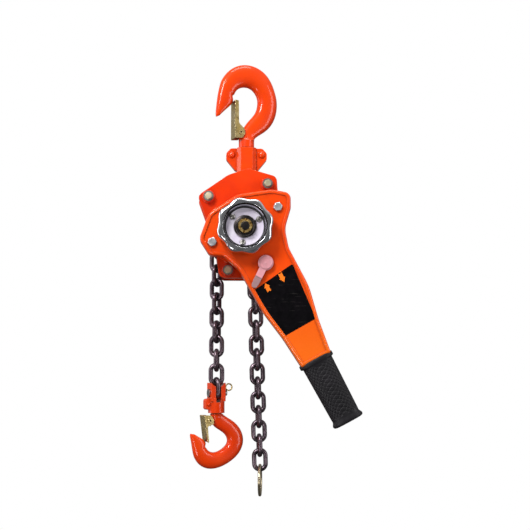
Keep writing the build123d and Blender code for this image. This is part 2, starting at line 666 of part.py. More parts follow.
def brake_pawl(pivot_angle):
    """A flat pawl on a stud, its nose just clear of the ratchet."""
    px, pz = 32.0, 0.0
    tip = polar(-40, RATCHET_R + PAWL_LIFT, 0, 0)
    heel = polar(-33, RATCHET_R + PAWL_LIFT + 0.2, 0, 0)
    face = make_face(Polyline((px - 3.8, pz + 1.5), (px + 3.8, pz + 1.0), (px + 1.5, pz - 6.0),
                              (tip[0] + 4.2, tip[1] - 0.6), tip, heel, (px - 4.2, pz - 5.0), close=True))
    face = face + Pos(px, pz) * Circle(4.0)
    body = slab(Pos(AXIS_X, AXIS_Z) * Rot(0, 0, pivot_angle) * face, *RATCHET_Y)
    return body - rod(*polar(pivot_angle, 32.0), 2.5 + FIT, -20, -40)


def pawl_stud(x, z):
    return rod(x, z, 2.5, -PLATE_IN, -33.5) + ring(x, z, 2.4, 4.2, -PLATE_OUT - 0.2, -27.1)


def pawl_spring(x, z):
    """A flat spiral of three turns in front of each pawl."""
    made = Pos(x, -32.4, z) * Rot(90, 0, 0) * Torus(3.2, 0.4)
    return made


def friction_disc(y0, y1):
    return ring(AXIS_X, AXIS_Z, 9.5, 20.5, y0, y1)


def brake_hub():
    """Pinned to the drive shaft; its flange is the brake's back face."""
    return ring(AXIS_X, AXIS_Z, 7.0, 21.0, -21.4, -24.8) + ring(AXIS_X, AXIS_Z, 7.0, 8.9, -24.8, -33.8)


def change_gear():
    """Screwed on the shaft: flange against the brake, hub for the lever, teeth for the selector's pawl."""
    tooth = Polygon((13.5, -3.9), (15.0, -3.9), (20.0, -1.9), (20.0, 1.9), (15.0, 3.9), (13.5, 3.9), align=None)
    body = ring(AXIS_X, AXIS_Z, 7.0, 19.5, -34.0, -37.5) + ring(AXIS_X, AXIS_Z, 7.0, HUB_R, -37.5, -67.0)
    for k in range(CHANGE_TEETH):
        turn = LEVER_ANGLE + 360 / CHANGE_TEETH * k
        body += slab(Pos(AXIS_X, AXIS_Z) * Rot(0, 0, turn) * tooth, -48.0, -53.6)
    return body


save("brake_hub", brake_hub())
save("ratchet_disc", ratchet_disc())
save("friction_discs", friction_disc(-24.8, RATCHET_Y[0]), friction_disc(RATCHET_Y[1], -34.0))
save("brake_pawl_right", brake_pawl(28))
save("brake_pawl_left", brake_pawl(208))
save("pawl_studs", *[pawl_stud(x, z) for x, z in PAWL_PIVOTS])
save("pawl_springs", *[pawl_spring(x, z) for x, z in PAWL_PIVOTS])
save("change_gear", change_gear())


# ---- handwheel --------------------------------------------------------------------------------
WHEEL_R = 33.7
LOBE = 1.3
LOBES = 8
LOBE_PHASE = 16.5
WHEEL_BACK = -70.0
WHEEL_FRONT = -90.0
DISC_R = 23.0
SCREW_CIRCLE = 19.4
DISC_SCREWS = [polar(angle, SCREW_CIRCLE) for angle in (142, 28, 262)]


def lobed_face(radius, lobe):
    points = [polar(a, radius + lobe * cos(radians(LOBES * (a - LOBE_PHASE))), 0, 0)
              for a in (360 / 48 * k for k in range(48))]
    return make_face(Wire([Spline(*points, periodic=True)]))


def handwheel():
    body = slab(Pos(AXIS_X, AXIS_Z) * lobed_face(WHEEL_R, LOBE), WHEEL_BACK, WHEEL_FRONT)
    body = fillet(body.edges().group_by(Axis.Y)[0], 3.6)
    body = fillet(body.edges().group_by(Axis.Y)[-1], 1.5)
    dish = turned([(0, WHEEL_FRONT - 1), (28.0, WHEEL_FRONT - 1), (25.6, WHEEL_FRONT + 3.0),
                   (24.4, -74.5), (0, -74.5)])
    body -= dish
    return body - rod(AXIS_X, AXIS_Z, 7.5, -60, -80)


def disc_screw(x, z):
    head = turned([(0, -76.6), (3.6, -76.6), (3.2, -77.8), (2.0, -78.6), (0, -78.8)], x, z)
    head += rod(x, z, 1.6, -72.5, -76.6)
    for turn in (20, 110):
        cut = Pos(x, z) * Rot(0, 0, turn) * Rectangle(3.6, 0.8)
        head -= slab(cut, -77.6, -80)
    return head


def hub_ring():
    """The stepped black ring under the castle nut, with its small locking arm."""
    body = turned([(5.0, -76.0), (13.8, -76.0), (13.8, -78.6), (11.6, -79.4), (11.6, -80.6), (10.2, -81.4),
                   (5.0, -81.4)])
    arm = Pos(AXIS_X, AXIS_Z) * Rot(0, 0, 28) * Pos(12.6, 0) * Rectangle(4.8, 3.0)
    return body + slab(arm, -77.2, -79.0)


def castle_nut():
    body = turned([(5.0, -81.4), (9.5, -81.4), (9.5, -86.2), (8.8, -87.0), (5.0, -87.0)])
    for k in range(3):
        body -= slab(Pos(AXIS_X, AXIS_Z) * Rot(0, 0, 60 * k + 20) * Rectangle(24, 2.4), -84.2, -90)
    return body


save("handwheel", handwheel() - Compound(children=[rod(x, z, 1.6, -72.5, -76.6) for x, z in DISC_SCREWS]))
save("handwheel_disc", ring(AXIS_X, AXIS_Z, 8.0, DISC_R, -74.5, -76.0)
     - Compound(children=[rod(x, z, 1.7, -72, -78) for x, z in DISC_SCREWS]))
save("disc_screws", *[disc_screw(x, z) for x, z in DISC_SCREWS])
save("hub_ring", hub_ring())
save("castle_nut", castle_nut())


# ---- lever ------------------------------------------------------------------------------------
LEVER_BACK = -44.0
LEVER_SPLIT = -55.0
LEVER_FACE = -66.0
SHELL_T = 2.0
RIM = 4.5
LEVER = [(-12.0, 71.0), (5.0, 62.0), (24.0, 43.5), (47.0, 36.6), (100.0, 36.4), (142.0, 27.4), (184.0, 21.6),
         (184.0, -18.6), (142.0, -22.2), (104.0, -28.4), (42.0, -30.2), (19.0, -39.0), (10.0, -53.8),
         (-14.0, -55.6), (-37.0, -30.0), (-41.0, 12.0), (-27.0, 52.0)]
LEVER_R = [9, 12, 30, 30, 90, 120, 2, 2, 120, 90, 30, 12, 8, 10, 20, 30, 25]
TONGUE = [(150.0, 14.0), (262.0, 13.0), (262.0, -10.0), (150.0, -11.0)]
LEVER_BOLTS = [(-4.0, 48.5), (-3.0, -43.5)]
SELECTOR = (50.4, 2.4)
GRIP_START = 182.0


def on_lever(shape):
    """Carries a drawing in lever coordinates, u along the lever and v to its right, to the XZ plane."""
    return Pos(AXIS_X, AXIS_Z) * Rot(0, 0, LEVER_ANGLE) * shape


def lever_point(u, v):
    a = radians(LEVER_ANGLE)
    return AXIS_X + u * cos(a) - v * sin(a), AXIS_Z + u * sin(a) + v * cos(a)


def lever_outline():
    return rounded(LEVER, LEVER_R)


def lever_shell(face_y, split_y):
    """One pressed half: a recessed face, a raised rolled rim and side walls, with its tongue for the grip."""
    out = -1 if face_y < split_y else 1
    head = lever_outline()
    tongue = make_face(Polyline(*TONGUE, close=True))
    body = slab(on_lever(head), split_y, face_y)
    edge = body.edges().group_by(Axis.Y)[0 if out < 0 else -1]
    body = fillet(edge, 3.0)
    recess = offset(head, amount=-RIM)
    body -= slab(on_lever(recess), face_y - out * 1.6, face_y + out)
    inner = offset(head, amount=-SHELL_T - 0.6)
    body -= slab(on_lever(inner), split_y - out, face_y - out * (1.6 + SHELL_T))
    body += slab(on_lever(tongue), split_y, face_y - out * 3.0) - slab(on_lever(lever_outline()), -30, -80)
    body -= rod(AXIS_X, AXIS_Z, HUB_R + FIT, -30, -80)
    for u, v in LEVER_BOLTS:
        body += ring(*lever_point(u, v), 4.0, 6.5, split_y, face_y - out * 2.5)
        body -= rod(*lever_point(u, v), 4.0, -30, -80)
    if out < 0:
        body -= rod(*lever_point(*SELECTOR), 5.0 + FIT, -50, -80)
    else:
        body -= rod(*lever_point(*SELECTOR), 3.5 + FIT, -30, -60)
    return body


def lever_bolt(u, v):
    x, z = lever_point(u, v)
    head = hexagon(x, z, 10.0, LEVER_FACE + 1.6, LEVER_FACE - 2.6, 12)
    dome = turned([(0, -60), (6.2, -60), (6.2, LEVER_FACE - 1.4), (4.6, LEVER_FACE - 2.6), (0, LEVER_FACE - 2.6)],
                  x, z)
    tail = hexagon(x, z, 9.0, LEVER_BACK - 1.6, LEVER_BACK + 0.6, 40)
    return (head & dome) + rod(x, z, 4.0, LEVER_FACE + 1.6, LEVER_BACK - 1.6) + tail


def grip():
    """A moulded sleeve over the tongue: a collar, a long body and a flared end."""
    side = [(GRIP_START, 24.0), (187.0, 24.0), (189.0, 22.2), (258.0, 20.2), (266.0, 21.4), (269.0, 18.5)]
    other = [(u, 3.0 - v) for u, v in reversed(side)]
    face = rounded(side + other, [1.0, 1.0, 1.0, 6, 3, 1.2, 1.2, 3, 6, 1.0, 1.0, 1.0])
    body = slab(on_lever(face), LEVER_BACK + 1.0, LEVER_FACE - 1.0)
    body = body & turned([(0, -40), (400, -40), (400, -70), (0, -70)])
    hollow = make_face(Polyline((GRIP_START - 1, 14.2), (262.2, 13.2), (262.2, -10.2), (GRIP_START - 1, -11.2), close=True))
    mouth = make_face(Polyline((GRIP_START - 1, 30), (184.2, 30), (184.2, -26), (GRIP_START - 1, -26), close=True))
    body -= slab(on_lever(hollow), LEVER_BACK - 2.8, LEVER_FACE + 2.8)
    return body - slab(on_lever(offset(lever_outline(), amount=0.2)), LEVER_BACK + 0.2, LEVER_FACE - 0.2)


def selector_lever():
    """The change-over lever: a round boss on a short shaft and a thin handle."""
    x, z = lever_point(*SELECTOR)
    turn = LEVER_ANGLE - 54.5
    handle = rounded([(4, 4.4), (26, 4.2), (34, 3.2), (34, -3.2), (26, -4.2), (4, -4.4)], [1, 6, 3, 3, 6, 1])
    boss = turned([(0, -65.2), (9.4, -65.2), (9.4, -69.8), (7.4, -71.6), (0, -72.4)], x, z)
    body = boss + slab(Pos(x, z) * Rot(0, 0, turn) * handle, -67.2, -70.4)
    body += rod(x, z, 5.0, -55.5, -66.0) + rod(x, z, 3.5, -44.0, -56.0)
    groove = Pos(x, z) * Rot(0, 0, turn) * Pos(20.5, 0) * Rectangle(1.2, 12)
    return body - slab(groove, -69.8, -72)


def selector_pawl():
    """The double-ended pawl inside the lever, on the selector's shaft; neutral at rest."""
    x, z = lever_point(*SELECTOR)
    arm = make_face(Polyline((0, 4.6), (30.0, 2.6), (33.6, 1.2), (33.6, -1.2), (30.0, -2.6), (0, -4.6), close=True))
    face = Circle(8.0) + Rot(0, 0, 28) * arm + Rot(0, 0, -28) * arm
    body = slab(Pos(x, z) * Rot(0, 0, LEVER_ANGLE + 180) * face, -48.2, -53.4)
    return body - rod(x, z, 3.5, -40, -60)


save("lever_rear_shell", lever_shell(LEVER_BACK, LEVER_SPLIT))
save("lever_front_shell", lever_shell(LEVER_FACE, LEVER_SPLIT))
save("lever_bolts", *[lever_bolt(u, v) for u, v in LEVER_BOLTS])
save("lever_grip", grip())
save("selector_lever", selector_lever())
save("selector_pawl", selector_pawl())


# ---- bottom yoke ------------------------------------------------------------------------------
YOKE_TOP = -382.0
YOKE_STEP = -402.0
YOKE_END = -420.6
YOKE_W = 9.4
YOKE_D = 8.4
BARREL_R = 10.4
YOKE_PIN_R = 3.5
RIVET_LUG_X = -12.2           # the small rivet beside the barrel


def bottom_yoke_half(side):
    """Half of the clevis that holds the chain's last link above and the hook's button below."""
    body = block(-YOKE_W, YOKE_W, 0, YOKE_D, YOKE_STEP - 4, YOKE_TOP)
    body += post(0, 0, BARREL_R, YOKE_END, YOKE_STEP) & block(-20, 20, 0, 20, YOKE_END, YOKE_STEP)
    lug = rounded([(RIVET_LUG_X - 3.6, -403.0), (RIVET_LUG_X - 3.6, -416.0), (0, -418.0), (0, -401.0)], [3, 3, 1, 1])
    body += slab(lug, 0, 5.0)
    body -= block(-3.5, 3.5, -1, 12, -407.2, -380)
    body -= rod(0, -377.0, 11.0, -1, 12)
    body -= post(0, 0, 6.3, -425, -416) + post(0, 0, 8.7, -416.4, -408.6)
    body -= Pos(0, 0, LOAD_PIN_Z) * Rot(0, 90, 0) * Cylinder(YOKE_PIN_R, 40)
    body -= rod(RIVET_LUG_X, -409.5, 1.5, -1, 6)
    return place_bottom(body if side > 0 else mirror(body, Plane.XZ))


def along_x(r, x0, x1, z):
    return Pos((x0 + x1) / 2, 0, z) * Rot(0, 90, 0) * Cylinder(r, x1 - x0)


def chain_pin():
    body = along_x(YOKE_PIN_R, -YOKE_W, 13.6, LOAD_PIN_Z) + along_x(5.0, -YOKE_W - 1.8, -YOKE_W, LOAD_PIN_Z)
    return place_bottom(body - post(11.8, 0, 1.0, LOAD_PIN_Z - 6, LOAD_PIN_Z + 6))


def pin_cotter():
    """A split pin through the chain pin, with its round eye beside the yoke."""
    stem = post(11.8, 0, 0.95, LOAD_PIN_Z - 7.0, LOAD_PIN_Z + 7.4)
    eye = Pos(16.8, 0, LOAD_PIN_Z + 7.4) * Rot(90, 0, 0) * Torus(4.2, 0.9)
    return place_bottom(stem + eye)


save("bottom_yoke_front", bottom_yoke_half(-1))
save("bottom_yoke_rear", bottom_yoke_half(1))
save("bottom_yoke_rivet", place_bottom(button_rivet(RIVET_LUG_X, -409.5, 5.0, 1.5, 2.4)))
save("chain_pin", chain_pin())
save("chain_pin_cotter", pin_cotter())


# ---- chain ------------------------------------------------------------------------------------
# Each strand is cut into three lengths, which swing on one another.
FIRST_TAIL = LOAD_LINKS + WRAP_LINKS
LENGTHS = {
    "load_chain_lower": (0, 2),
    "load_chain_middle": (2, 5),
    "load_chain_upper": (5, LOAD_LINKS),
    "chain_over_sheave": (LOAD_LINKS, FIRST_TAIL),
    "tail_chain_upper": (FIRST_TAIL, FIRST_TAIL + 5),
    "tail_chain_middle": (FIRST_TAIL + 5, FIRST_TAIL + 10),
    "tail_chain_lower": (FIRST_TAIL + 10, FIRST_TAIL + TAIL_LINKS),
}
for name, (first, last) in LENGTHS.items():
    save(name, *chain(first, last))


def end_ring():
    """The round hoop that keeps the free end from running through."""
    low, high = JOINTS[-1], JOINTS[-2]
    wire_r, hoop_r = 1.9, 18.4
    x = (low[0] + high[0]) / 2 + 0.1
    z = (low[1] + high[1]) / 2 - CHAIN_PITCH / 2 + wire_r + 0.1 - hoop_r
    return Pos(x, 0, z) * Rot(0, 0, 90 - 6) * Rot(90, 0, 0) * Torus(hoop_r, wire_r)


save("end_ring", end_ring())
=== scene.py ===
import json
import math
import bpy
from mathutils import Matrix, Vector


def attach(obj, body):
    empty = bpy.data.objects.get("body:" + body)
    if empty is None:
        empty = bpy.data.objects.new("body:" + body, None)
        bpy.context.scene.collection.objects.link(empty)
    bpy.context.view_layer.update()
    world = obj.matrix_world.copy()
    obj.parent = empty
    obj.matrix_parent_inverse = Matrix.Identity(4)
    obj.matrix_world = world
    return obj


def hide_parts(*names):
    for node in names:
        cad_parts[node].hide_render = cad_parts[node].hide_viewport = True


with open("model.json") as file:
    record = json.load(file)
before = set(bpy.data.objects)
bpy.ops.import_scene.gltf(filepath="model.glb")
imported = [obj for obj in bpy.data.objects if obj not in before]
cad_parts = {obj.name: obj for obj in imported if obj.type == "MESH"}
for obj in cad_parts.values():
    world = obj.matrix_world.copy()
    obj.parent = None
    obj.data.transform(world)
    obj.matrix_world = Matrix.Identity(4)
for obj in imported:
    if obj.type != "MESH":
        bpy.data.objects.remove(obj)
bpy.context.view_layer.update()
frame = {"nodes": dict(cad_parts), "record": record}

MM = 0.001
AXIS = (-4.4, -193.0)         # the drive axis in XZ, mm
HUB = (AXIS[0] * MM, AXIS[1] * MM)
# The selector's pivot and the stay bolts in XZ, m
SELECTOR = (0.02146, -0.23633)
STAYS = [(-0.0488, -0.148), (0.0259, -0.1314), (-0.024, -0.2416)]
LEVER_ANGLE = math.radians(-61.9)
LABEL_Y = -64.4               # the lever's recessed face, under the label, mm
CENTRE = (0.0, 0.0, -0.25)    # what the key, fill and side lights point at


# ---- shader building blocks -------------------------------------------------------------------
class Shader:
    """A material's node tree, with short calls for the nodes used here."""

    def __init__(self, name):
        self.material = bpy.data.materials.new(name)
        self.material.use_nodes = True
        self.tree = self.material.node_tree
        self.surface = self.tree.nodes["Principled BSDF"]
        self.place = self.add("ShaderNodeTexCoord").outputs["Object"]

    def add(self, kind, **settings):
        node = self.tree.nodes.new(kind)
        for key, value in settings.items():
            setattr(node, key, value)
        return node

    def plug(self, value, socket):
        """A socket takes either another node's output or a plain value."""
        if isinstance(value, bpy.types.NodeSocket):
            self.tree.links.new(value, socket)
        elif value is not None:
            socket.default_value = value

    def stretch(self, scale):
        node = self.add("ShaderNodeMapping")
        self.plug(self.place, node.inputs["Vector"])
        self.plug(scale, node.inputs["Scale"])
        return node.outputs["Vector"]

    def noise(self, scale, detail=3.0, roughness=0.55, place=None, distortion=0.0):
        node = self.add("ShaderNodeTexNoise")
        self.plug(place or self.place, node.inputs["Vector"])
        self.plug(scale, node.inputs["Scale"])
        self.plug(detail, node.inputs["Detail"])
        self.plug(roughness, node.inputs["Roughness"])
        self.plug(distortion, node.inputs["Distortion"])
        return node.outputs["Fac"]

    def axis(self, letter):
        """One coordinate of the point, in metres."""
        node = self.add("ShaderNodeSeparateXYZ")
        self.plug(self.place, node.inputs[0])
        return node.outputs[letter]

    def from_axis(self, x, z):
        """Distance from a line along Y through (x, z), in metres."""
        node = self.add("ShaderNodeVectorMath", operation="DISTANCE")
        self.plug(self.stretch((1.0, 0.0, 1.0)), node.inputs[0])
        self.plug((x, 0.0, z), node.inputs[1])
        return node.outputs["Value"]

    def cells(self, scale):
        node = self.add("ShaderNodeTexVoronoi", feature="F1")
        self.plug(self.place, node.inputs["Vector"])
        self.plug(scale, node.inputs["Scale"])
        return node.outputs["Distance"]

    def span(self, value, low, high, to_low=0.0, to_high=1.0):
        node = self.add("ShaderNodeMapRange")
        self.plug(value, node.inputs["Value"])
        limits = {"From Min": low, "From Max": high, "To Min": to_low, "To Max": to_high}
        for key, number in limits.items():
            self.plug(number, node.inputs[key])
        return node.outputs["Result"]

    def math(self, operation, a, b=None):
        node = self.add("ShaderNodeMath", operation=operation)
        self.plug(a, node.inputs[0])
        self.plug(b, node.inputs[1])
        return node.outputs[0]

    def blend(self, amount, a, b):
        node = self.add("ShaderNodeMix", data_type="RGBA", blend_type="MIX")
        self.plug(amount, node.inputs[0])
        self.plug(a, node.inputs[6])
        self.plug(b, node.inputs[7])
        return node.outputs[2]

    def round_edges(self, radius):
        """The normal that a softly rounded edge would have."""
        node = self.add("ShaderNodeBevel", samples=6)
        self.plug(radius, node.inputs["Radius"])
        return node.outputs["Normal"]

    def edges(self, radius, low=0.86, high=0.995):
        """1 on sharp edges, 0 on open faces."""
        node = self.add("ShaderNodeVectorMath", operation="DOT_PRODUCT")
        self.plug(self.round_edges(radius), node.inputs[0])
        self.plug(self.add("ShaderNodeNewGeometry").outputs["Normal"], node.inputs[1])
        return self.span(node.outputs["Value"], low, high, 1.0, 0.0)

    def corners(self, distance, low=0.25, high=0.85):
        """1 deep in corners and gaps, 0 in the open: the ambient-occlusion mask for painted shade in corners.
        """
        node = self.add("ShaderNodeAmbientOcclusion", samples=8)
        self.plug(distance, node.inputs["Distance"])
        return self.span(node.outputs["AO"], low, high, 1.0, 0.0)

    def bump(self, height, strength, distance, normal=None):
        node = self.add("ShaderNodeBump")
        self.plug(strength, node.inputs["Strength"])
        self.plug(distance, node.inputs["Distance"])
        self.plug(height, node.inputs["Height"])
        self.plug(normal, node.inputs["Normal"])
        return node.outputs["Normal"]

    def finish(self, **inputs):
        names = {"color": "Base Color", "metallic": "Metallic", "roughness": "Roughness", "normal": "Normal",
                 "coat": "Coat Weight", "coat_roughness": "Coat Roughness", "coat_normal": "Coat Normal",
                 "specular": "Specular IOR Level"}
        for key, value in inputs.items():
            self.plug(value, self.surface.inputs[names[key]])
        return self.material


def rgba(r, g, b):
    """A display colour, 0 to 255, as linear light."""
    def linear(c):
        c /= 255
        return c / 12.92 if c <= 0.04045 else ((c + 0.055) / 1.055) ** 2.4
    return (linear(r), linear(g), linear(b), 1.0)


# ---- materials --------------------------------------------------------------------------------
def paint(name, color, deep, edge_highlight, texture, wear, low=None):
    """Gloss enamel over steel: uneven film, painted shade in the corners, a painted highlight of paler orange
    along every edge, and edges worn through to metal in patches.

    Painted light: the colour turns to low, if given, between two heights, lighter and warmer lower down.
    """
    lit_from, lit_to = -0.235, -0.345
    s = Shader(name)
    cloud = s.span(s.noise(22.0, 4.0), 0.35, 0.68)
    body = s.blend(cloud, color, deep)
    # Painted light: a lighter, warmer tone lower down
    if low:
        body = s.blend(s.span(s.axis("Z"), lit_from, lit_to), body, low)
    # Painted shade: corners darkened towards deep red, broken up by noise
    corner_shade = s.math("MULTIPLY", s.corners(0.006), s.span(s.noise(140.0), 0.3, 0.7, 0.3, 0.8))
    body = s.blend(corner_shade, body, rgba(96, 22, 8))
    lit_and_worn_edges = s.edges(0.0009)
    patchy = s.span(s.noise(260.0, 5.0, 0.65), 0.46, 0.62)
    # Painted highlight: every sharp edge lightened towards a lighter orange; the chips below are wear through
    # to metal
    body = s.blend(s.math("MULTIPLY", lit_and_worn_edges, 0.45), body, edge_highlight)
    chips = s.math("MULTIPLY", s.math("MULTIPLY", lit_and_worn_edges, patchy), wear)
    body = s.blend(chips, body, rgba(120, 98, 92))
    peel = s.noise(420.0, 2.0, 0.4)
    soft = s.bump(s.noise(60.0, 2.0), 0.14, 0.0008, s.round_edges(0.0009))
    normal = s.bump(peel, texture, 0.00008, soft)
    rough = s.span(s.noise(90.0, 5.0), 0.3, 0.75, 0.26, 0.40)
    return s.finish(color=body, roughness=rough, normal=normal, specular=0.12, coat=0.50, coat_roughness=0.06,
                    coat_normal=normal, metallic=s.math("MULTIPLY", chips, 0.6))


def plated(name, color, second, rough=(0.22, 0.38), shade_colour=(40, 32, 26), shade_strength=0.75):
    """Plated or bright steel: the film's tint drifts, with painted shade in the corners and a painted
    highlight on the edges.
    """
    edge = 0.0004
    s = Shader(name)
    drift = s.span(s.noise(85.0, 3.0, 0.5, distortion=0.6), 0.36, 0.66)
    body = s.blend(drift, color, second)
    fine = s.span(s.noise(700.0, 3.0), 0.35, 0.7, 0.0, 0.35)
    body = s.blend(fine, body, second)
    # Painted shade: corners darkened, and a little rougher
    corner_shade = s.math("MULTIPLY", s.corners(0.0035), shade_strength)
    body = s.blend(corner_shade, body, rgba(*shade_colour))
    # Painted highlight: edges lightened towards white
    body = s.blend(s.math("MULTIPLY", s.edges(edge), 0.35), body, rgba(236, 232, 222))
    normal = s.bump(s.noise(380.0, 4.0), 0.18, 0.00008, s.round_edges(edge))
    roughness = s.span(s.noise(210.0, 5.0), 0.3, 0.7, rough[0], rough[1])
    roughness = s.math("ADD", roughness, s.math("MULTIPLY", corner_shade, 0.25))
    return s.finish(color=body, metallic=1.0, roughness=roughness, normal=normal)


def chain_steel():
    """Heat-treated chain: blued black with a violet cast, with painted shade where the links meet."""
    s = Shader("chain_steel")
    drift = s.span(s.noise(60.0, 4.0, 0.6), 0.35, 0.68)
    body = s.blend(drift, rgba(92, 80, 88), rgba(126, 110, 118))
    scale = s.span(s.noise(900.0, 4.0, 0.7), 0.45, 0.75)
    body = s.blend(s.math("MULTIPLY", scale, 0.5), body, rgba(52, 42, 46))
    # Painted shade: darker where the links meet
    link_shade = s.math("MULTIPLY", s.corners(0.0022, 0.35, 0.9), s.span(s.noise(190.0), 0.35, 0.6))
    body = s.blend(s.math("MULTIPLY", link_shade, 0.6), body, rgba(38, 30, 32))
    normal = s.bump(s.noise(520.0, 5.0, 0.65), 0.35, 0.00012)
    normal = s.bump(s.noise(120.0, 2.0), 0.25, 0.0003, normal)
    return s.finish(color=body, metallic=0.95, roughness=s.span(s.noise(230.0, 4.0), 0.3, 0.7, 0.24, 0.42),
                    normal=normal)


def cast(name, color, second, grit=0.5, metallic=0.75, rough=(0.35, 0.55), handled=None):
    """A cast skin: grit, mottling, painted shade in its corners and a painted highlight on its rim. Beyond
    the reach from (x, z), handling has greyed it.
    """
    s = Shader(name)
    body = s.blend(s.span(s.noise(130.0, 4.0, 0.6), 0.35, 0.65), color, second)
    if handled:
        x, z, reach = handled
        greyed = s.span(s.from_axis(x, z), reach - 0.0006, reach + 0.0006, 0.0, 0.85)
        body = s.blend(greyed, body, rgba(150, 122, 124))
    # Painted shade in the corners, then a painted highlight on the edges
    body = s.blend(s.math("MULTIPLY", s.corners(0.003), 0.7), body, rgba(58, 44, 42))
    body = s.blend(s.math("MULTIPLY", s.edges(0.0006), 0.4), body, rgba(232, 214, 212))
    normal = s.bump(s.noise(650.0, 4.0, 0.7), grit, 0.00016, s.round_edges(0.0006))
    normal = s.bump(s.cells(420.0), grit * 0.35, 0.0001, normal)
    return s.finish(color=body, metallic=metallic, normal=normal,
                    roughness=s.span(s.noise(240.0), 0.3, 0.7, *rough))


def chrome():
    """Bright plating with faint polishing waves, pin-pricks, and painted shade in the corners, which are also
    rougher.
    """
    s = Shader("wheel_chrome")
    body = s.blend(s.span(s.noise(45.0, 3.0), 0.35, 0.65), rgba(214, 216, 222), rgba(238, 238, 242))
    # Painted shade: corners and the inner wall darkened, and made rougher
    wheel_shade = s.math("MULTIPLY", s.corners(0.010, 0.30, 0.80), 0.92)
    body = s.blend(wheel_shade, body, rgba(42, 38, 34))
    pits = s.span(s.cells(620.0), 0.0, 0.18, 1.0, 0.0)
    pits = s.math("MULTIPLY", pits, s.span(s.noise(70.0), 0.56, 0.66))
    body = s.blend(s.math("MULTIPLY", pits, 0.7), body, rgba(80, 70, 60))
    normal = s.bump(s.noise(75.0, 2.0), 0.06, 0.0006, s.round_edges(0.0005))
    rough = s.math("ADD", s.span(s.noise(260.0, 5.0), 0.3, 0.7, 0.12, 0.20), s.math("MULTIPLY", wheel_shade, 0.25))
    return s.finish(color=body, metallic=1.0, roughness=rough, normal=normal)


def disc_enamel():
    """Pale lavender finish turned on a lathe, so its sheen has fine rings."""
    s = Shader("disc_enamel")
    rings = s.math("SINE", s.math("MULTIPLY", s.from_axis(*HUB), 9000.0))
    body = s.blend(s.span(s.noise(70.0, 3.0), 0.35, 0.65), rgba(226, 216, 234), rgba(236, 229, 242))
    body = s.blend(s.span(rings, -1.0, 1.0, 0.0, 0.10), body, rgba(168, 156, 176))
    # Painted shade in the corners
    body = s.blend(s.math("MULTIPLY", s.corners(0.0022), 0.45), body, rgba(70, 60, 66))
    normal = s.bump(rings, 0.12, 0.00003, s.round_edges(0.0003))
    return s.finish(color=body, metallic=0.05, normal=normal,
                    roughness=s.span(s.noise(300.0), 0.3, 0.7, 0.30, 0.42))


def lining():
    """Resin-bonded friction lining: dull brown with brass swarf and fibres."""
    s = Shader("friction_lining")
    body = s.blend(s.span(s.noise(160.0, 5.0), 0.35, 0.65), rgba(92, 68, 48), rgba(60, 46, 38))
    flecks = s.span(s.cells(900.0), 0.0, 0.22, 1.0, 0.0)
    flecks = s.math("MULTIPLY", flecks, s.span(s.noise(400.0), 0.55, 0.62))
    body = s.blend(flecks, body, rgba(190, 148, 84))
    return s.finish(color=body, roughness=0.82, metallic=s.math("MULTIPLY", flecks, 0.7),
                    normal=s.bump(s.noise(900.0, 4.0), 0.5, 0.0002))


def rubber():
    """Moulded rubber, bloomed grey on its high points."""
    s = Shader("grip_rubber")
    body = s.blend(s.span(s.noise(55.0, 4.0), 0.35, 0.68), rgba(14, 12, 16), rgba(24, 21, 26))
    dust = s.math("MULTIPLY", s.edges(0.0005, 0.80, 0.98), s.span(s.noise(210.0, 4.0), 0.35, 0.65, 0.1, 0.6))
    body = s.blend(dust, body, rgba(52, 48, 54))
    normal = s.bump(s.noise(1100.0, 3.0), 0.25, 0.00008, s.round_edges(0.0004))
    return s.finish(color=body, specular=0.30, normal=normal,
                    roughness=s.span(s.noise(160.0), 0.3, 0.7, 0.42, 0.60))


def film(name, color, second, rough=(0.16, 0.28)):
    """Printed adhesive film: smooth, with faint ripples, dust and hairline scuffs."""
    s = Shader(name)
    body = s.blend(s.span(s.noise(90.0, 3.0), 0.4, 0.7), rgba(*color), rgba(*second))
    scuff = s.span(s.noise(30.0, 5.0, 0.7, s.stretch((1.0, 1.0, 14.0))), 0.60, 0.66, 0.0, 0.10)
    body = s.blend(scuff, body, rgba(120, 112, 110))
    normal = s.bump(s.noise(48.0, 2.0), 0.12, 0.0005)
    return s.finish(color=body, roughness=s.span(s.noise(140.0, 5.0), 0.3, 0.7, *rough),
                    specular=0.3, normal=normal)


ORANGE = rgba(228, 66, 4)
DEEP = rgba(214, 52, 3)
